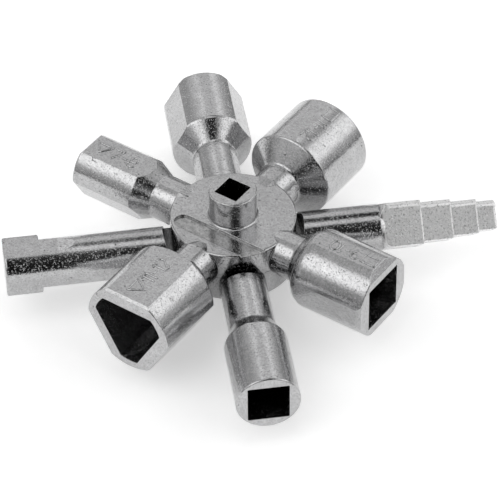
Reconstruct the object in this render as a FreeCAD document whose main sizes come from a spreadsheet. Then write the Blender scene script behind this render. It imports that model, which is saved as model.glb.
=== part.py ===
"""Multi utility key: two die-cast four-arm cross keys, stacked hub on hub and held together by a magnet in each hub.

Each cross is drawn in its own frame first: the hub axis is Z, the flat mating face is z = 0, the boss points to +Z and
the four arms lie along +X, +Y, -X and -Y. Each arm is drawn along +X about the X axis and then turned into its place.
The upper cross is lifted to the mating height; the lower one is turned over and twisted by about half the gap between
two arms. Millimetres. The origin is the mouth of the lower hub's socket, on the hub axis.
"""
import FreeCAD, Part
import math
import os
import Sketcher

V = FreeCAD.Vector
doc = FreeCAD.newDocument("multi_utility_key")
sheet = doc.addObject("Spreadsheet::Sheet", "sizes")

SIZES = [
    # hub: disc, boss, the two sockets in the bosses, the seat that clears the other cross, the bare plate field
    ("hub_radius", 12.64), ("hub_height", 5.935), ("hub_rim_round", 0.45),
    ("upper_boss_radius", 4.81), ("lower_boss_radius", 5.2), ("boss_height", 12.375),
    ("boss_root_round", 0.55), ("boss_rim_round", 0.35), ("boss_socket_depth", 8.0),
    ("upper_boss_square", 5.2), ("lower_boss_square", 6.1),
    ("seat_radius", 14.2), ("plate_offset", 7.35), ("plate_half_width", 1.95), ("plate_start", 6.85), ("plate_depth", 0.45),
    ("magnet_radius", 5.0), ("magnet_height", 2.5), ("magnet_gap", 0.1), ("magnet_inset", 0.1), ("magnet_chamfer", 0.3),
    # arms in general
    ("arm_height", 1.865), ("neck_radius", 4.7), ("neck_flat", 4.54), ("neck_start", 9.8), ("neck_low", 4.0),
    ("neck_rise", 2.6), ("ramp_depth", 0.13), ("rod_radius", 4.85), ("socket_depth", 13.0), ("neck_round", 0.9),
    # upper cross
    ("upper_length", 35.65),
    ("square_ten_cone", 16.6), ("square_ten_shoulder", 19.5), ("square_ten_round", 3.2), ("square_ten_body", 8.25),
    ("square_ten_flat", 8.0), ("square_ten_hole", 5.0), ("square_ten_corner", 6.95), ("square_ten_bevel", 1.2),
    ("square_ten_mouth_top", 6.6), ("square_ten_mouth_low", 6.9), ("square_ten_mouth_side", 7.7),
    ("square_twelve_length", 34.45), ("square_twelve_cone", 16.7), ("square_twelve_shoulder", 20.05), ("square_twelve_round", 0.5),
    ("square_twelve_body", 9.46), ("square_twelve_hole", 5.95), ("square_twelve_corner", 7.95), ("square_twelve_bevel", 0.7),
    ("triangle_eight_cone", 17.4), ("triangle_eight_shoulder", 21.3), ("triangle_eight_round", 0.5), ("triangle_eight_body", 6.5),
    ("triangle_eight_flat", 5.67), ("triangle_eight_hole", 3.75), ("triangle_eight_corner", 5.25), ("triangle_eight_bevel", 0.5),
    ("triangle_twelve_cone", 16.6), ("triangle_twelve_shoulder", 20.3), ("triangle_twelve_round", 0.6),
    ("triangle_twelve_body", 9.6), ("triangle_twelve_flat", 8.33), ("triangle_twelve_hole", 5.57),
    ("triangle_twelve_corner", 7.95), ("triangle_twelve_bevel", 0.5),
    # lower cross
    ("square_eight_length", 46.1), ("square_eight_cone", 26.6), ("square_eight_shoulder", 30.1), ("square_eight_round", 1.0),
    ("square_eight_body", 6.32), ("square_eight_hole", 4.05), ("square_eight_corner", 5.6), ("square_eight_bevel", 0.4),
    ("triangle_ten_length", 45.15), ("triangle_ten_cone", 26.6), ("triangle_ten_shoulder", 30.15), ("triangle_ten_round", 0.8),
    ("triangle_ten_body", 8.34), ("triangle_ten_flat", 7.75), ("triangle_ten_hole", 4.7), ("triangle_ten_corner", 6.75),
    ("triangle_ten_bevel", 1.2),
    ("blade_start", 29.5), ("blade_corner_start", 31.3), ("step_nine", 4.5), ("step_eight", 4.0), ("step_seven", 3.5),
    ("step_six", 3.0), ("step_nine_end", 38.0), ("step_eight_end", 44.2), ("step_seven_end", 49.5), ("blade_tip", 53.4),
    ("blade_edge_round", 0.3), ("blade_tip_round", 0.6), ("blade_land", 0.85), ("blade_land_round", 0.7),
    ("bit_start", 38.9), ("bit_end", 46.2), ("bit_half_width", 4.5), ("bit_half_height", 4.3), ("bit_flat_start", 31.9),
    ("bit_flat_full", 35.2), ("bit_round", 1.0), ("rod_rim_round", 0.5),
    # placing
    ("nest_angle", 43.32),
]
for row, (alias, number) in enumerate(SIZES, start=1):
    sheet.set("A%d" % row, alias)
    sheet.set("B%d" % row, repr(number))
    sheet.setAlias("B%d" % row, alias)
doc.recompute()


class Size:
    """A length kept both as an expression on the sheet and as the number it gives now."""

    def __init__(self, text, now):
        self.text, self.now = text, float(now)

    @staticmethod
    def of(x):
        return x if isinstance(x, Size) else Size("%.9f" % x if x >= 0 else "(%.9f)" % x, x)

    def __add__(self, o):
        o = Size.of(o)
        return Size("(%s + %s)" % (self.text, o.text), self.now + o.now)

    def __radd__(self, o):
        return Size.of(o) + self

    def __sub__(self, o):
        o = Size.of(o)
        return Size("(%s - %s)" % (self.text, o.text), self.now - o.now)

    def __rsub__(self, o):
        return Size.of(o) - self

    def __mul__(self, o):
        o = Size.of(o)
        return Size("(%s * %s)" % (self.text, o.text), self.now * o.now)

    __rmul__ = __mul__

    def __truediv__(self, o):
        o = Size.of(o)
        return Size("(%s / %s)" % (self.text, o.text), self.now / o.now)

    def __neg__(self):
        return Size("(0 - %s)" % self.text, -self.now)


NUMBER = dict(SIZES)


def z(alias):
    """A size on the sheet, by its alias."""
    return Size("sizes.%s" % alias, NUMBER[alias])


def bind(obj, prop, size):
    obj.setExpression(prop, Size.of(size).text)


# ------------------------------------------------------------------------------------------------- drawing helpers
def plane(body, role):
    return next(f for f in body.Origin.OriginFeatures if f.Role == role)


def new_body(label):
    body = doc.addObject("PartDesign::Body", label)
    body.Label = label
    return body


def new_sketch(body, name, role, offset=None):
    sk = body.newObject("Sketcher::SketchObject", name)
    sk.AttachmentSupport = [(plane(body, role), "")]
    sk.MapMode = "FlatFace"
    if offset is not None:
        bind(sk, "AttachmentOffset.Base.z", offset)
    doc.recompute()
    return sk


def outline(sk, points):
    """A closed outline; each corner is held by two dimensions to the origin."""
    points = [(Size.of(x), Size.of(y)) for x, y in points]
    at = [V(x.now, y.now, 0) for x, y in points]
    n, first = len(points), sk.GeometryCount
    for i in range(n):
        sk.addGeometry(Part.LineSegment(at[i], at[(i + 1) % n]), False)
    for i in range(n):
        sk.addConstraint(Sketcher.Constraint("Coincident", first + i, 2, first + (i + 1) % n, 1))
    for i, (x, y) in enumerate(points):
        for kind, size in (("DistanceX", x), ("DistanceY", y)):
            k = sk.addConstraint(Sketcher.Constraint(kind, -1, 1, first + i, 1, size.now))
            if "sizes." in size.text:
                sk.setExpression("Constraints[%d]" % k, size.text)


def circle(sk, radius, x=0.0, y=0.0):
    radius, x, y = Size.of(radius), Size.of(x), Size.of(y)
    g = sk.addGeometry(Part.Circle(V(x.now, y.now, 0), V(0, 0, 1), radius.now), False)
    k = sk.addConstraint(Sketcher.Constraint("Radius", g, radius.now))
    sk.setExpression("Constraints[%d]" % k, radius.text)
    if "sizes." not in x.text and "sizes." not in y.text:
        sk.addConstraint(Sketcher.Constraint("Coincident", g, 3, -1, 1))
        return
    for kind, size in (("DistanceX", x), ("DistanceY", y)):
        k = sk.addConstraint(Sketcher.Constraint(kind, -1, 1, g, 3, size.now))
        sk.setExpression("Constraints[%d]" % k, size.text)


def feature(body, kind, name, sk):
    f = body.newObject(kind, name)
    f.Profile = (sk, [""])
    return f


def pad(body, name, sk, length):
    f = feature(body, "PartDesign::Pad", name, sk)
    bind(f, "Length", length)
    doc.recompute()
    return f


def pocket(body, name, sk, depth):
    """A pocket that is turned round where it would take nothing away."""
    f = feature(body, "PartDesign::Pocket", name, sk)
    bind(f, "Length", depth)
    doc.recompute()
    before = f.BaseFeature.Shape.Volume
    if f.Shape.isNull() or f.Shape.Volume > before - 0.05:
        f.Reversed = not f.Reversed
        doc.recompute()
    if f.Shape.Volume > before - 0.05:
        raise RuntimeError("%s takes nothing away" % name)
    return f


def edges_of(shape, test):
    return ["Edge%d" % (i + 1) for i, e in enumerate(shape.Edges) if test(e)]


def ring_at(shape, radius, x=None, height=None):
    """The circular edges of one radius at one station along X or one height."""
    def test(e):
        c = e.Curve
        return (isinstance(c, Part.Circle) and abs(c.Radius - Size.of(radius).now) < 1e-4
                and (x is None or abs(c.Center.x - Size.of(x).now) < 1e-4)
                and (height is None or abs(c.Center.z - Size.of(height).now) < 1e-4))
    found = edges_of(shape, test)
    if not found:
        raise RuntimeError("no ring of radius %.3f" % Size.of(radius).now)
    return found


def fillet(body, name, base, edges, radius):
    f = body.newObject("PartDesign::Fillet", name)
    f.Base = (base, edges)
    bind(f, "Radius", radius)
    doc.recompute()
    if f.Shape.isNull() or not f.Shape.isValid():
        raise RuntimeError("%s fails" % name)
    return f


def regular(n, inradius, turn=0.0):
    """Corners of a regular polygon with one side up, from its inradius."""
    c = 1 / math.cos(math.pi / n)
    angles = [math.pi / 2 + math.pi / n + 2 * math.pi * k / n + turn for k in range(n)]
    return [(inradius * (c * math.cos(a)), inradius * (c * math.sin(a))) for a in angles]


def common(label, a, b):
    c = doc.addObject("Part::Common", label)
    c.Base, c.Tool = a, b
    return c


def cut(label, a, b):
    c = doc.addObject("Part::Cut", label)
    c.Base, c.Tool = a, b
    return c


def fuse(label, shapes):
    f = doc.addObject("Part::MultiFuse", label)
    f.Shapes = shapes
    return f


# ------------------------------------------------------------------------------------------------------------- hub
def hub(label, boss_radius, square):
    """A flat disc with a boss, turned about Z: square socket in the boss, magnet recess below, bare plate field on top."""
    body = new_body(label)
    radius, height, rim, top = z("hub_radius"), z("hub_height"), z("hub_rim_round"), z("boss_height")
    sk = new_sketch(body, label + "_profile", "XZ_Plane")
    outline(sk, [(0, 0), (radius, 0), (radius, height), (boss_radius, height), (boss_radius, top), (0, top)])
    turn = feature(body, "PartDesign::Revolution", label + "_turn", sk)
    turn.ReferenceAxis = (sk, ["V_Axis"])
    turn.Angle = 360
    doc.recompute()
    root = fillet(body, label + "_boss_root", turn, ring_at(turn.Shape, boss_radius, height=height), z("boss_root_round"))
    boss = fillet(body, label + "_boss_rim", root, ring_at(root.Shape, boss_radius, height=top), z("boss_rim_round"))
    fillet(body, label + "_disc_rim", boss, ring_at(boss.Shape, radius, height=height), rim)

    sk = new_sketch(body, label + "_square", "XY_Plane", top)
    outline(sk, regular(4, square * 0.5))
    pocket(body, label + "_socket", sk, z("boss_socket_depth"))
    sk = new_sketch(body, label + "_recess_ring", "XY_Plane")
    circle(sk, z("magnet_radius") + z("magnet_gap"))
    pocket(body, label + "_recess", sk, z("magnet_height") + z("magnet_inset"))
    # the plate field is a shallow slot with one round end, open at the rim
    low, high = -z("plate_offset") - z("plate_half_width"), -z("plate_offset") + z("plate_half_width")
    sk = new_sketch(body, label + "_plate_slot", "XY_Plane", height)
    outline(sk, [(-z("plate_start"), low), (radius * 1.2, low), (radius * 1.2, high), (-z("plate_start"), high)])
    pocket(body, label + "_plate_field", sk, z("plate_depth"))
    sk = new_sketch(body, label + "_plate_round", "XY_Plane", height)
    circle(sk, z("plate_half_width"), -z("plate_start"), -z("plate_offset"))
    pocket(body, label + "_plate_end", sk, z("plate_depth"))
    return body


# ------------------------------------------------------------------------------------------------------------ arms
def turned(label, points):
    """A solid turned about X from a profile of stations and radii."""
    body = new_body(label)
    sk = new_sketch(body, label + "_profile", "XZ_Plane")
    outline(sk, [(points[0][0], 0)] + points + [(points[-1][0], 0)])
    turn = feature(body, "PartDesign::Revolution", label + "_turn", sk)
    turn.ReferenceAxis = (sk, ["H_Axis"])
    turn.Angle = 360
    doc.recompute()
    return body, turn


def neck_points(radius):
    """The inner end of an arm: it dips just under the disc's face and rises out of it."""
    return [(z("neck_start"), z("neck_low")), (z("neck_start") + z("neck_rise"), radius)]


def socket_blank(label, name, length, rim):
    """Neck, cone and round body of a socket arm, with its shoulder and mouth softened."""
    cone, shoulder, body_radius = z(name + "_cone"), z(name + "_shoulder"), z(name + "_body")
    body, turn = turned(label, neck_points(z("neck_radius")) + [(cone, z("neck_radius")), (shoulder, body_radius),
                                                               (length, body_radius)])
    inner = fillet(body, label + "_neck_round", turn, ring_at(turn.Shape, z("neck_radius"), x=cone), z("neck_round"))
    outer = fillet(body, label + "_shoulder_round", inner, ring_at(inner.Shape, body_radius, x=shoulder), z(name + "_round"))
    fillet(body, label + "_mouth_round", outer, ring_at(outer.Shape, body_radius, x=length), rim)
    return body


def triangle_faces(label, start, ramp_end, length, bevel, foot, flat):
    """Three slabs turned about X: each gives one flat, the ramp that leads up to it along the cone, and the bevel at the mouth."""
    slabs = []
    for k in range(3):
        body = new_body("%s_%d" % (label, k))
        sk = new_sketch(body, "%s_%d_section" % (label, k), "XZ_Plane")
        outline(sk, [(start, -40), (length, -40), (length, flat - bevel), (length - bevel, flat), (ramp_end, flat), (start, foot)])
        wide = pad(body, "%s_%d_width" % (label, k), sk, 80)
        wide.Midplane = True
        body.Placement = FreeCAD.Placement(V(0, 0, 0), FreeCAD.Rotation(V(1, 0, 0), 120 * k))
        doc.recompute()
        slabs.append(body)
    return common(label, common(label + "_pair", slabs[0], slabs[1]), slabs[2])


def ruled(body, name, near, far):
    """A straight-sided loft between two sections of one body."""
    loft = body.newObject("PartDesign::AdditiveLoft", name)
    loft.Profile = (near, [""])
    loft.Sections = [(far, [""])]
    loft.Ruled = True
    doc.recompute()
    return loft


def prism(label, start, length, bevel, section, mouth):
    """The prism that gives a socket arm its flats, drawn in at the mouth."""
    body = new_body(label)
    sk = new_sketch(body, label + "_section", "YZ_Plane", start)
    outline(sk, section)
    pad(body, label + "_length", sk, length - bevel - start)
    near = new_sketch(body, label + "_bevel_section", "YZ_Plane", length - bevel)
    outline(near, section)
    far = new_sketch(body, label + "_mouth_section", "YZ_Plane", length)
    outline(far, mouth)
    ruled(body, label + "_mouth_bevel", near, far)
    return body


def bar(label, start, length, radius):
    """A round bar along X."""
    rod = doc.addObject("Part::Cylinder", label)
    bind(rod, "Radius", radius)
    bind(rod, "Height", length)
    rod.Placement = FreeCAD.Placement(V(0, 0, 0), FreeCAD.Rotation(V(0, 1, 0), 90))
    bind(rod, "Placement.Base.x", start)
    return rod


def hollow(label, sides, inradius, length, corner):
    """The space inside a socket: a polygon with its corners cut to a circle, running out past the mouth."""
    body = new_body(label)
    sk = new_sketch(body, label + "_section", "YZ_Plane", length - z("socket_depth"))
    outline(sk, regular(sides, inradius))
    pad(body, label + "_length", sk, z("socket_depth") + 1)
    return common(label + "_space", body, bar(label + "_round", length - z("socket_depth") - 1, z("socket_depth") + 3, corner))


def top_flat(label, end):
    """What the flat along the top of a neck takes away; its inner end slopes down into the disc's face."""
    face, rise_end = z("hub_height") - z("arm_height"), z("neck_start") + z("neck_rise")
    body = new_body(label)
    sk = new_sketch(body, label + "_section", "XZ_Plane")
    outline(sk, [(z("neck_start"), face - 0.12), (rise_end, z("neck_flat")), (end, z("neck_flat")), (end, face + 5), (z("neck_start"), face + 5)])
    wide = pad(body, label + "_width", sk, 14)
    wide.Midplane = True
    doc.recompute()
    return body


def in_place(arm, angle):
    """Turns an arm about the hub axis and lifts it to the arm height."""
    arm.Placement = FreeCAD.Placement(V(0, 0, NUMBER["arm_height"]), FreeCAD.Rotation(V(0, 0, 1), angle))
    bind(arm, "Placement.Base.z", z("arm_height"))
    return arm


def socket_arm(name, length, sides, angle, rim, mouth=None):
    blank = socket_blank(name + "_blank", name, length, rim)
    cone = z(name + "_cone")
    if name + "_flat" in NUMBER:
        flat, bevel = z(name + "_flat"), z(name + "_bevel")
        if sides == 3:
            rise = (z(name + "_shoulder") - cone) / (z(name + "_body") - z("neck_radius"))
            ramp_end = cone + (flat + z("ramp_depth") - z("neck_radius")) * rise
            faces = triangle_faces(name + "_faces", cone, ramp_end, length, bevel, z("neck_radius") - 0.05, flat)
        else:
            faces = prism(name + "_faces", cone - 1, length, bevel, regular(sides, flat), mouth)
        neck = bar(name + "_neck_zone", z("neck_start"), cone - z("neck_start"), z("neck_radius") + 1)
        levelled = cut(name + "_levelled", common(name + "_neck", blank, neck), top_flat(name + "_top_flat", cone + 1))
        shape = fuse(name + "_body_and_neck", [common(name + "_flatted", blank, faces), levelled])
    else:
        shape = cut(name + "_levelled", blank, top_flat(name + "_top_flat", cone))
    arm = cut(name + "_arm", shape, hollow(name + "_hollow", sides, z(name + "_hole"), length, z(name + "_corner")))
    return in_place(arm, angle)


def middle(e):
    return e.valueAt(0.5 * (e.FirstParameter + e.LastParameter))


def along_x(e):
    a, b = e.valueAt(e.FirstParameter), e.valueAt(e.LastParameter)
    return abs(a.y - b.y) < 1e-6 and abs(a.z - b.z) < 1e-6


def stepped_arm(angle):
    """A rod that ends in four square steps, set on edge."""
    rod_end, tip = z("blade_start"), z("blade_tip")
    reach = z("step_nine") * 1.42
    rod, turn = turned("stepped_rod", neck_points(z("rod_radius")) + [
        (rod_end, z("rod_radius")), (rod_end + 0.9, z("step_nine") - 0.05), (rod_end + 1.4, z("step_nine") - 0.1)])
    steps = new_body("stepped_blade")
    ends = [z("step_nine_end"), z("step_eight_end"), z("step_seven_end"), tip]
    halves = [z("step_nine"), z("step_eight"), z("step_seven"), z("step_six")]
    starts = [rod_end - 0.4] + ends[:-1]
    last = None
    for i in range(4):
        sk = new_sketch(steps, "step_%d_section" % i, "YZ_Plane", starts[i])
        outline(sk, regular(4, halves[i], math.pi / 4))
        last = pad(steps, "step_%d" % i, sk, ends[i] - starts[i])

    def at_step(e):
        m = middle(e)
        return any(abs(m.x - end.now) < 1e-4 and abs(math.hypot(m.y, m.z) - half.now) < 1e-3 for end, half in zip(ends[:-1], halves))

    soft = fillet(steps, "blade_edges", last, edges_of(last.Shape, lambda e: along_x(e) or at_step(e)), z("blade_edge_round"))
    fillet(steps, "blade_end", soft, edges_of(soft.Shape, lambda e: abs(middle(e).x - tip.now) < 1e-4), z("blade_tip_round"))
    # a narrow land that the mould leaves along the top corner of each step
    lands = []
    for i, (start, end, half) in enumerate(zip([z("blade_corner_start") + 0.2] + ends[:-1], ends, halves)):
        land = new_body("blade_land_%d" % i)
        sk = new_sketch(land, "blade_land_%d_section" % i, "YZ_Plane", start - 0.3)
        top = -(half * math.sqrt(2) - 0.13)
        outline(sk, [(0, top), (z("blade_land"), top), (z("blade_land"), top + 1.3), (0, top + 1.3)])
        block = pad(land, "blade_land_%d_length" % i, sk, end - start + 0.3)
        front = edges_of(block.Shape, lambda e: abs(middle(e).x - end.now) < 1e-4 and abs(middle(e).z - top.now) < 1e-4)
        fillet(land, "blade_land_%d_end" % i, block, front, z("blade_land_round"))
        lands.append(land)
    envelope, turn = turned("blade_envelope", [(rod_end - 0.4, z("rod_radius") * 0.985), (rod_end, z("rod_radius")),
                                               (z("blade_corner_start"), reach), (tip + 1, reach)])
    arm = fuse("stepped_arm", [cut("stepped_rod_levelled", rod, top_flat("stepped_top_flat", rod_end)),
                               common("blade_in_envelope", steps, envelope)] + lands)
    return in_place(arm, angle)


def double_bit_arm(angle):
    """A rod flattened above and below, with two bits at opposite corners of its end."""
    end, half_height = z("bit_end"), z("bit_half_height")
    rod, turn = turned("bit_rod", neck_points(z("rod_radius")) + [(end, z("rod_radius"))])
    fillet(rod, "bit_rod_end", turn, ring_at(turn.Shape, z("rod_radius"), x=end), z("rod_rim_round"))
    waste = new_body("bit_flat_waste")
    sk = new_sketch(waste, "bit_flat_waste_section", "XZ_Plane")
    outline(sk, [(z("bit_flat_start"), z("rod_radius")), (z("bit_flat_full"), half_height), (end + 1, half_height),
                 (end + 1, z("rod_radius") + 2), (z("bit_flat_start"), z("rod_radius") + 2)])
    wide = pad(waste, "bit_flat_waste_width", sk, z("rod_radius") * 3)
    wide.Midplane = True
    under = doc.addObject("Part::Mirroring", "bit_flat_waste_below")
    under.Source = waste
    under.Normal = V(0, 0, 1)
    flat_rod = cut("bit_rod_flat_below", cut("bit_rod_flat_above", rod, waste), under)
    bits = []
    for name, sign in (("bit_left", -1.0), ("bit_right", 1.0)):
        body = new_body(name)
        sk = new_sketch(body, name + "_section", "YZ_Plane", z("bit_start"))
        w, h = z("bit_half_width") * sign, half_height * -sign
        back = z("rod_rim_round") * sign
        outline(sk, [(-back, back), (w, back), (w, h), (-back, h)])
        block = pad(body, name + "_length", sk, end - z("bit_start"))
        outer = edges_of(block.Shape, lambda e: along_x(e) and abs(middle(e).y - w.now) < 1e-5 and abs(middle(e).z - h.now) < 1e-5)
        soft = fillet(body, name + "_corner", block, outer, z("bit_round"))
        rims = edges_of(soft.Shape, lambda e: not along_x(e) and abs(middle(e).y - w.now) < 1e-5)
        fillet(body, name + "_ends", soft, rims, z("rod_rim_round") * 0.7)
        bits.append(body)
    levelled = cut("bit_rod_levelled", flat_rod, top_flat("bit_top_flat", z("bit_flat_full") - 0.2))
    return in_place(fuse("double_bit_arm", [levelled] + bits), angle)


# --------------------------------------------------------------------------------------------------- whole crosses
def cross(label, parts):
    """Hub and arms as one casting, cleared round the seat of the other cross."""
    whole = fuse(label + "_blank", parts)
    seat = doc.addObject("Part::Cylinder", label + "_seat")
    bind(seat, "Radius", z("seat_radius"))
    seat.Height = 20
    seat.Placement.Base = V(0, 0, -20)
    result = cut(label, whole, seat)
    result.Label = label
    return result


length = z("upper_length")
side, high, low = z("square_ten_mouth_side"), z("square_ten_mouth_top"), z("square_ten_mouth_low")
upper = cross("upper_cross_key", [
    hub("upper_hub", z("upper_boss_radius"), z("upper_boss_square")),
    socket_arm("square_ten", length, 4, 0, z("square_ten_bevel") * 0.25, mouth=[(-side, high), (-side, -low), (side, -low), (side, high)]),
    socket_arm("square_twelve", z("square_twelve_length"), 4, 90, z("square_twelve_bevel") * 0.6),
    socket_arm("triangle_eight", length, 3, 180, z("triangle_eight_bevel")),
    socket_arm("triangle_twelve", length, 3, 270, z("triangle_twelve_bevel") * 0.5),
])
lower = cross("lower_cross_key", [
    hub("lower_hub", z("lower_boss_radius"), z("lower_boss_square")),
    stepped_arm(0),
    socket_arm("square_eight", z("square_eight_length"), 4, 90, z("square_eight_bevel")),
    double_bit_arm(180),
    socket_arm("triangle_ten", z("triangle_ten_length"), 3, 270, z("triangle_ten_bevel") * 0.6),
])


def magnet(label):
    body = new_body(label)
    sk = new_sketch(body, label + "_ring", "XY_Plane")
    circle(sk, z("magnet_radius"))
    disc = pad(body, label + "_disc", sk, z("magnet_height"))
    edge = body.newObject("PartDesign::Chamfer", label + "_edge")
    edge.Base = (disc, edges_of(disc.Shape, lambda e: isinstance(e.Curve, Part.Circle)))
    bind(edge, "Size", z("magnet_chamfer"))
    doc.recompute()
    return body


upper_magnet, lower_magnet = magnet("upper_magnet"), magnet("lower_magnet")

lift, inset = z("boss_height"), z("magnet_inset")
twist = FreeCAD.Rotation(V(0, 0, 1), NUMBER["nest_angle"]) * FreeCAD.Rotation(V(1, 0, 0), 180)
for piece, turn, height in ((upper, FreeCAD.Rotation(), lift), (lower, twist, lift),
                            (upper_magnet, FreeCAD.Rotation(), lift + inset), (lower_magnet, twist, lift - inset)):
    piece.Placement = FreeCAD.Placement(V(0, 0, height.now), turn)
    bind(piece, "Placement.Base.z", height)
doc.recompute()

for o in doc.Objects:
    if "Invalid" in o.State or "Error" in o.State:
        raise RuntimeError("%s is not in order: %s" % (o.Label, o.State))
    if o.TypeId.startswith(("Part::", "PartDesign::")) and (o.Shape.isNull() or not o.Shape.isValid()):
        raise RuntimeError("%s has no valid shape" % o.Label)

os.makedirs("parts", exist_ok=True)
for piece in (upper, lower, upper_magnet, lower_magnet):
    if len(piece.Shape.Solids) != 1:
        raise RuntimeError("%s is %d solids" % (piece.Label, len(piece.Shape.Solids)))
    box = piece.Shape.BoundBox
    print("%-18s volume %8.1f mm3  x %.2f..%.2f  y %.2f..%.2f  z %.2f..%.2f" % (
        piece.Label, piece.Shape.Volume, box.XMin, box.XMax, box.YMin, box.YMax, box.ZMin, box.ZMax))
    piece.Shape.exportStep("parts/%s.step" % piece.Label)
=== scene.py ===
import math

import bpy
from mathutils import Matrix, Vector


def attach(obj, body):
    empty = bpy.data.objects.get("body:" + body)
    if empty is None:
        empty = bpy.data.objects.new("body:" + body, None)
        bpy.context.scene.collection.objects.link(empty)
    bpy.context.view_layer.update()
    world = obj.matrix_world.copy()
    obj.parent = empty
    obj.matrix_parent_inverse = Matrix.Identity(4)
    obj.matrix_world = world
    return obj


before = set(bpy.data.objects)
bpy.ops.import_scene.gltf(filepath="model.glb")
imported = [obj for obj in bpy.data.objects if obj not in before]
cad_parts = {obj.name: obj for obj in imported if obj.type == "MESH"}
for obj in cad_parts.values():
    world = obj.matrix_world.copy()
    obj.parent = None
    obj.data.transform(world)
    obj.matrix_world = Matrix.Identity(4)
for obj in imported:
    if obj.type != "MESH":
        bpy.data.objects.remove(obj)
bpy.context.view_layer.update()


# ------------------------------------------------------------------------------------------------ places, in metres
UPPER_AXIS, LOWER_AXIS = 0.01424, 0.01051


def on_arm(angle, along, side, z):
    a = math.radians(angle)
    return Vector((along * math.cos(a) - side * math.sin(a), along * math.sin(a) + side * math.cos(a), z))


# --------------------------------------------------------------------------------------------------------- materials
class Nodes:
    """A short way to write a node tree."""

    def __init__(self, tree):
        self.tree = tree
        tree.nodes.clear()

    def new(self, kind, **settings):
        n = self.tree.nodes.new(kind)
        for key, value in settings.items():
            setattr(n, key, value)
        return n

    def put(self, socket, value):
        if isinstance(value, bpy.types.NodeSocket):
            self.tree.links.new(value, socket)
        elif value is not None:
            socket.default_value = value

    def math(self, op, a, b=None, clamp=False):
        n = self.new("ShaderNodeMath", operation=op, use_clamp=clamp)
        self.put(n.inputs[0], a)
        self.put(n.inputs[1], b)
        return n.outputs[0]

    def noise(self, vector, scale, detail=4.0, rough=0.5, distort=0.0):
        n = self.new("ShaderNodeTexNoise")
        self.put(n.inputs["Vector"], vector)
        n.inputs["Scale"].default_value = scale
        n.inputs["Detail"].default_value = detail
        n.inputs["Roughness"].default_value = rough
        n.inputs["Distortion"].default_value = distort
        return n.outputs["Fac"]

    def ramp(self, fac, stops):
        n = self.new("ShaderNodeValToRGB")
        self.put(n.inputs["Fac"], fac)
        e = n.color_ramp.elements
        while len(e) < len(stops):
            e.new(0.5)
        for item, (at, value) in zip(e, stops):
            item.position = at
            v = value if isinstance(value, (tuple, list)) else (value, value, value)
            item.color = (*v, 1.0)
        return n.outputs["Color"]

    def map_range(self, value, a, b, c, d, smooth=False):
        n = self.new("ShaderNodeMapRange", clamp=True)
        if smooth:
            n.interpolation_type = "SMOOTHSTEP"
        for socket, v in zip((0, 1, 2, 3, 4), (value, a, b, c, d)):
            self.put(n.inputs[socket], v)
        return n.outputs[0]

    def mix(self, fac, a, b, blend="MIX"):
        n = self.new("ShaderNodeMix", data_type="RGBA", blend_type=blend)
        self.put(n.inputs["Factor"], fac)
        self.put(n.inputs[6], a)
        self.put(n.inputs[7], b)
        return n.outputs[2]

    def dot(self, a, direction):
        n = self.new("ShaderNodeVectorMath", operation="DOT_PRODUCT")
        self.put(n.inputs[0], a)
        n.inputs[1].default_value = direction
        return n.outputs["Value"]


def grey(v, tint=(1.0, 1.0, 1.0)):
    return (v * tint[0], v * tint[1], v * tint[2], 1.0)


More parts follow.
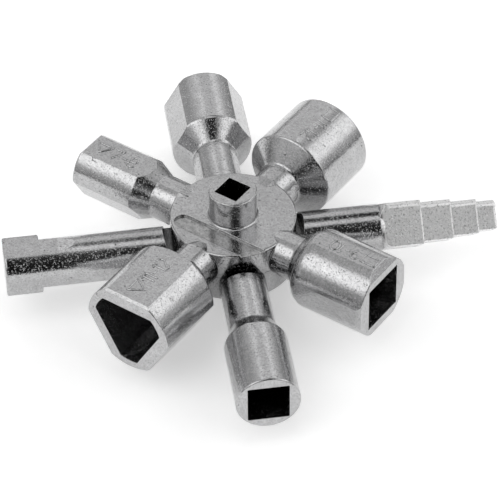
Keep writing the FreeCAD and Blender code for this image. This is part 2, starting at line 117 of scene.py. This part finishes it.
def casting(name, tint, blade_angle=None, plate=None):
    """Bright plated zinc: a fine cast grain, flow marks, painted shade in the hollows (ambient occlusion darkens the
    colour), and painted highlights along the edges.
    """
    mat = bpy.data.materials.new(name)
    mat.use_nodes = True
    n = Nodes(mat.node_tree)
    where = n.new("ShaderNodeTexCoord").outputs["Object"]
    grain = n.noise(where, 2600.0, 2.0, 0.5)
    crumbs = n.map_range(n.noise(where, 2900.0, 2.0, 0.55), 0.615, 0.68, 0.0, 1.0)
    pits = n.noise(where, 1500.0, 2.0, 0.5)
    waves = n.noise(where, 240.0, 4.0, 0.55)
    patches = n.noise(where, 75.0, 4.0, 0.6)
    cloud = n.noise(where, 620.0, 5.0, 0.7)

    # Painted highlight: where the bevel normal turns away from the true normal, along edges, the colour is lightened
    # to stand for an edge glint. The occlusion keeps it out of corners.
    edge = n.new("ShaderNodeBevel", samples=6)
    edge.inputs["Radius"].default_value = 0.00022
    flat = n.new("ShaderNodeNewGeometry").outputs["Normal"]
    turn = n.new("ShaderNodeVectorMath", operation="DOT_PRODUCT")
    n.put(turn.inputs[0], edge.outputs["Normal"])
    n.put(turn.inputs[1], flat)
    edge_highlight = n.map_range(turn.outputs["Value"], 0.985, 0.90, 0.0, 1.0)
    # Painted shade: ambient occlusion finds hollows, creases and the gaps between parts, and the colour there is
    # darkened nearly to black (grey 0.012).
    deep = n.new("ShaderNodeAmbientOcclusion", samples=8)
    deep.inputs["Distance"].default_value = 0.011
    painted_shade_mask = n.map_range(deep.outputs["AO"], 0.10, 0.62, 0.0, 1.0, smooth=True)
    edge_highlight = n.math("MULTIPLY", edge_highlight, n.map_range(deep.outputs["AO"], 0.62, 0.85, 0.0, 1.0))

    tone = n.mix(n.map_range(patches, 0.35, 0.68, 0.0, 1.0), grey(0.86, tint), grey(1.0, tint))
    tone = n.mix(n.map_range(cloud, 0.42, 0.66, 0.0, 0.55), tone, grey(0.72, tint))
    spots = n.map_range(pits, 0.245, 0.30, 1.0, 0.0)
    tone = n.mix(spots, tone, grey(0.35, tint))
    # Painted highlight on edges: the edge mask mixes the colour towards grey 1.25.
    tone = n.mix(n.math("MULTIPLY", edge_highlight, n.map_range(cloud, 0.3, 0.6, 0.5, 1.0)), tone, grey(1.25, tint))
    # The painted shade is laid on here: where the mask is low, the colour goes to near-black.
    colour = n.mix(painted_shade_mask, grey(0.012), tone)
    if plate is not None:
        spot = n.new("ShaderNodeSeparateXYZ")
        n.put(spot.inputs[0], where)
        x, y, level = (spot.outputs[k] for k in "XYZ")
        out = n.math("SQRT", n.math("ADD", n.math("MULTIPLY", x, x), n.math("MULTIPLY", y, y)))
        field = n.math("MULTIPLY", n.math("LESS_THAN", n.math("ABSOLUTE", n.math("SUBTRACT", level, plate)), 0.00006),
                       n.math("MULTIPLY", n.math("LESS_THAN", out, 0.0127), n.math("LESS_THAN", y, 0.002)))
        colour = n.mix(field, colour, n.mix(n.map_range(cloud, 0.35, 0.62, 0.0, 1.0), grey(0.46), grey(0.30)))
    colour = n.mix(1.0, colour, n.ramp(grain, [(0.34, 0.88), (0.5, 1.0), (0.66, 1.08)]), "MULTIPLY")
    rough = n.math("ADD", n.map_range(grain, 0.3, 0.7, -0.03, 0.03), n.map_range(patches, 0.3, 0.7, 0.14, 0.20))
    strength_grain = n.map_range(patches, 0.3, 0.7, 0.6, 1.0)
    if blade_angle is not None:
        a = math.radians(blade_angle)
        along = n.dot(where, (math.cos(a), math.sin(a), 0.0))
        blade = n.map_range(along, 0.0298, 0.0301, 0.0, 1.0)
        rough = n.math("ADD", rough, n.math("MULTIPLY", blade, 0.30))
        sand = n.noise(where, 2600.0, 4.0, 0.75)
        dust = n.ramp(sand, [(0.35, 0.28), (0.42, 0.78), (0.60, 0.90), (0.70, 1.0)])
        colour = n.mix(n.math("MULTIPLY", blade, painted_shade_mask), colour, n.mix(spots, dust, grey(0.25)))
    bump = n.new("ShaderNodeBump")
    n.put(bump.inputs["Strength"], strength_grain)
    bump.inputs["Distance"].default_value = 0.000026
    n.put(bump.inputs["Height"], grain)
    n.put(bump.inputs["Normal"], edge.outputs["Normal"])
    bump4 = n.new("ShaderNodeBump")
    bump4.inputs["Strength"].default_value = 1.0
    bump4.inputs["Distance"].default_value = 0.00004
    n.put(bump4.inputs["Height"], crumbs)
    n.put(bump4.inputs["Normal"], bump.outputs["Normal"])
    bump2 = n.new("ShaderNodeBump")
    bump2.inputs["Strength"].default_value = 0.5
    bump2.inputs["Distance"].default_value = 0.00005
    n.put(bump2.inputs["Height"], waves)
    n.put(bump2.inputs["Normal"], bump4.outputs["Normal"])
    bump3 = n.new("ShaderNodeBump", invert=True)
    bump3.inputs["Strength"].default_value = 0.8
    bump3.inputs["Distance"].default_value = 0.00006
    n.put(bump3.inputs["Height"], spots)
    n.put(bump3.inputs["Normal"], bump2.outputs["Normal"])
    shader = n.new("ShaderNodeBsdfPrincipled")
    shader.inputs["Metallic"].default_value = 1.0
    n.put(shader.inputs["Base Color"], colour)
    n.put(shader.inputs["Roughness"], rough)
    n.put(shader.inputs["Normal"], bump3.outputs["Normal"])
    out = n.new("ShaderNodeOutputMaterial")
    n.put(out.inputs["Surface"], shader.outputs["BSDF"])
    return mat


def assign(node, mat):
    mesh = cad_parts[node].data
    mesh.materials.clear()
    mesh.materials.append(mat)


upper_mat = casting("plated_casting_upper", (0.53, 0.53, 0.535), plate=0.01786)
lower_mat = casting("plated_casting_lower", (0.53, 0.53, 0.535), 43.32, plate=0.00689)
magnet_mat = casting("magnet_plating", (0.58, 0.57, 0.56))
assign("upper_cross_key", upper_mat)
assign("lower_cross_key", lower_mat)
assign("upper_magnet", magnet_mat)
assign("lower_magnet", magnet_mat)

# ------------------------------------------------------------------------------- raised size marks, cast on the arms
# Each sign is a list of strokes in a box 3 mm high: x runs along the line of signs, y across it.


def arc(cx, cy, rx, ry, start, stop, steps=10):
    return [(cx + rx * math.cos(math.radians(start + (stop - start) * i / steps)),
             cy + ry * math.sin(math.radians(start + (stop - start) * i / steps))) for i in range(steps + 1)]


SIGNS = {
    "0": (1.5, [arc(0.65, 1.5, 0.65, 1.4, 90, 450, 14)]),
    "1": (0.75, [[(0.0, 2.3), (0.4, 2.9), (0.4, 0.1)]]),
    "2": (1.6, [arc(0.65, 2.15, 0.65, 0.75, 170, -40, 8) + [(0.0, 0.1), (1.35, 0.1)]]),
    "7": (1.6, [[(0.0, 2.9), (1.3, 2.9), (0.4, 0.1)]]),
    "8": (1.6, [arc(0.65, 2.2, 0.52, 0.68, -90, 270, 12), arc(0.65, 0.8, 0.62, 0.72, 90, 450, 12)]),
    "9": (1.6, [arc(0.65, 2.05, 0.6, 0.8, 0, 360, 12) + [(1.2, 1.2), (0.75, 0.1)]]),
    "-": (1.2, [[(0.1, 1.4), (0.8, 1.4)]]),
    "square": (3.0, [[(0.0, 0.3), (2.3, 0.3), (2.3, 2.6), (0.0, 2.6), (0.0, 0.3)]]),
    "triangle": (3.1, [[(0.0, 2.75), (2.6, 2.75), (1.3, 0.3), (0.0, 2.75)]]),
}


def marks(name, signs, place, first, size=1.0, stretch=1.0, width=0.00025):
    """Signs as low rounded ridges; place(x, y) gives the point on the surface for a place in the line, in mm."""
    curve = bpy.data.curves.new(name + "_strokes", "CURVE")
    curve.dimensions = "3D"
    curve.bevel_depth = width
    curve.bevel_resolution = 2
    curve.use_fill_caps = True
    x = first
    for sign in signs:
        advance, strokes = SIGNS[sign]
        for stroke in strokes:
            fine = []
            for (ax, ay), (bx, by) in zip(stroke[:-1], stroke[1:]):
                steps = max(1, int(math.hypot(bx - ax, by - ay) / 0.5))
                fine += [(ax + (bx - ax) * i / steps, ay + (by - ay) * i / steps) for i in range(steps)]
            closed = math.hypot(stroke[0][0] - stroke[-1][0], stroke[0][1] - stroke[-1][1]) < 0.01
            if not closed:
                fine.append(stroke[-1])
            spline = curve.splines.new("POLY")
            spline.points.add(len(fine) - 1)
            for p, (u, v) in zip(spline.points, fine):
                p.co = (*place(x + u * size * stretch, (v - 1.5) * size), 1.0)
            spline.use_cyclic_u = closed
        x += advance * size * stretch
    obj = bpy.data.objects.new(name + "_strokes", curve)
    bpy.context.scene.collection.objects.link(obj)
    bpy.context.view_layer.update()
    mesh = bpy.data.meshes.new_from_object(obj.evaluated_get(bpy.context.evaluated_depsgraph_get()))
    bpy.data.objects.remove(obj)
    mesh.name = name
    for polygon in mesh.polygons:
        polygon.use_smooth = True
    mesh.materials.clear()
    mesh.materials.append(upper_mat)
    piece = bpy.data.objects.new(name, mesh)
    bpy.context.scene.collection.objects.link(piece)
    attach(piece, "root")
    return piece


def on_flat(angle, start, height, drop=0.00006):
    """A line of signs on a flat top, read from the mouth towards the hub."""
    def place(x, y):
        return on_arm(angle, (start - x) / 1000, -y / 1000, UPPER_AXIS + height / 1000 - drop)
    return place


def on_round(angle, start, radius, turn, drop=0.00006):
    """The same on a round body, turned about its axis."""
    def place(x, y):
        a = math.radians(turn) - y / radius
        r = radius / 1000 - drop
        return on_arm(angle, (start - x) / 1000, r * math.sin(a), UPPER_AXIS + r * math.cos(a))
    return place


marks("marks_triangle_eight", ["triangle", "7", "-", "8"], on_flat(180, 34.2, 5.67), 0.0, 1.0, 1.45)
marks("marks_triangle_twelve", ["triangle", "1", "1", "-", "1", "2"], on_flat(270, 33.4, 8.33), 0.0, 1.15, 1.2)
marks("marks_square_ten", ["square", "9", "-", "1", "0"], on_flat(0, 34.0, 8.0), 0.0, 0.95, 1.4)
marks("marks_square_twelve", ["square", "1", "1", "-", "1", "2"], on_round(90, 33.2, 9.46, -14), 0.0, 1.0, 1.35)

# -------------------------------------------------------------------------------------------------- floor and lights
floor_mesh = bpy.data.meshes.new("floor")
floor_mesh.from_pydata([(-6, -6, 0), (6, -6, 0), (6, 6, 0), (-6, 6, 0)], [], [(0, 1, 2, 3)])
floor = bpy.data.objects.new("floor", floor_mesh)
bpy.context.scene.collection.objects.link(floor)
floor_mat = bpy.data.materials.new("floor_paper")
floor_mat.use_nodes = True
fn = Nodes(floor_mat.node_tree)
fibre = fn.noise(fn.new("ShaderNodeTexCoord").outputs["Object"], 400.0, 4.0, 0.6)
fs = fn.new("ShaderNodeBsdfPrincipled")
fn.put(fs.inputs["Base Color"], fn.ramp(fibre, [(0.3, 0.90), (0.7, 0.94)]))
fs.inputs["Roughness"].default_value = 0.9
fs.inputs["Specular IOR Level"].default_value = 0.0
fs.inputs["Emission Color"].default_value = (1.0, 1.0, 1.0, 1.0)
fs.inputs["Emission Strength"].default_value = 0.42
fo = fn.new("ShaderNodeOutputMaterial")
fn.put(fo.inputs["Surface"], fs.outputs["BSDF"])
floor_mesh.materials.append(floor_mat)

# The studio: a grey room with soft panels and dark cards, each given by azimuth and height ranges in degrees.
world = bpy.data.worlds.new("studio")
bpy.context.scene.world = world
world.use_nodes = True
wn = Nodes(world.node_tree)
direction = wn.new("ShaderNodeTexCoord").outputs["Generated"]
parts = wn.new("ShaderNodeSeparateXYZ")
wn.put(parts.inputs[0], direction)
height = wn.math("MULTIPLY", wn.math("ARCSINE", parts.outputs["Z"]), 180.0 / math.pi)
azimuth = wn.math("MULTIPLY", wn.math("ARCTAN2", parts.outputs["Y"], parts.outputs["X"]), 180.0 / math.pi)


def panel(level, middle, half, low, high, value, soft=4.0):
    """Lays a panel of one brightness over the room; middle and half are its azimuth, low and high its heights."""
    wrap = wn.new("ShaderNodeMath", operation="WRAP")
    wn.put(wrap.inputs[0], wn.math("SUBTRACT", azimuth, middle))
    wrap.inputs[1].default_value, wrap.inputs[2].default_value = 180.0, -180.0
    off = wn.math("ABSOLUTE", wrap.outputs[0])
    inside = wn.map_range(off, half - soft, half + soft, 1.0, 0.0, smooth=True)
    inside = wn.math("MULTIPLY", inside, wn.map_range(height, low - soft, low + soft, 0.0, 1.0, smooth=True))
    inside = wn.math("MULTIPLY", inside, wn.map_range(height, high - soft, high + soft, 1.0, 0.0, smooth=True))
    n = wn.new("ShaderNodeMix", data_type="FLOAT")
    wn.put(n.inputs["Factor"], inside)
    wn.put(n.inputs[2], level)
    wn.put(n.inputs[3], value)
    return n.outputs[0]


ripple = wn.noise(direction, 2.2, 2.0, 0.5)
level = wn.map_range(ripple, 0.3, 0.7, 0.40, 0.70)
level = panel(level, 125, 34, 24, 54, 0.84, 6.0)        # the back wall that the level faces mirror
level = panel(level, 107, 4, 10, 54, 1.25, 3.0)         # brighter strips in it
level = panel(level, 143, 5, 10, 54, 1.15, 4.0)
level = panel(level, -112, 42, 30, 64, 1.75, 9.0)        # soft panel to the left of the camera
level = panel(level, 30, 44, 20, 50, 1.55, 8.0)          # soft panel on the right
level = panel(level, 0, 180, 78, 95, 1.1, 2.5)          # overhead
level = panel(level, 103, 26, 54, 76, 0.02, 2.0)        # dark card high at the back
level = panel(level, -43, 19, 28, 64, 0.008, 2.0)       # dark cards where the camera stands
level = panel(level, -43, 34, 2, 30, 0.008, 2.0)
level = panel(level, -43, 34, 61, 74, 0.008, 2.0)
level = panel(level, 0, 180, -5, 5, 0.10, 3.0)          # dark skirting
bg = wn.new("ShaderNodeBackground")
bg.inputs["Color"].default_value = (1.0, 1.0, 1.0, 1.0)
wn.put(bg.inputs["Strength"], level)
wo = wn.new("ShaderNodeOutputWorld")
wn.put(wo.inputs["Surface"], bg.outputs["Background"])

# ------------------------------------------------------------------------------------------------------------ camera
AZ, EL, ROLL = math.radians(35.095), math.radians(42.124), math.radians(-0.569)
back = Vector((math.sin(AZ) * math.cos(EL), -math.cos(AZ) * math.cos(EL), math.sin(EL)))
right0 = Vector((math.cos(AZ), math.sin(AZ), 0))
up0 = back.cross(right0)
right = right0 * math.cos(ROLL) + up0 * math.sin(ROLL)
up = -right0 * math.sin(ROLL) + up0 * math.cos(ROLL)
cam = bpy.data.cameras.new("camera")
cam.sensor_fit = "HORIZONTAL"
cam.sensor_width = 36.0
cam.lens = 3050.66 * 36.0 / 500.0
cam.clip_start, cam.clip_end = 0.05, 20.0
eye = bpy.data.objects.new("camera", cam)
place = Vector((0.006345, -0.003266, 0.01424)) + back * 0.6061
eye.matrix_world = Matrix(((right.x, up.x, back.x, place.x), (right.y, up.y, back.y, place.y),
                           (right.z, up.z, back.z, place.z), (0, 0, 0, 1)))
bpy.context.scene.collection.objects.link(eye)
bpy.context.scene.camera = eye

bpy.context.scene.view_settings.view_transform = "Standard"
bpy.context.view_layer.update()
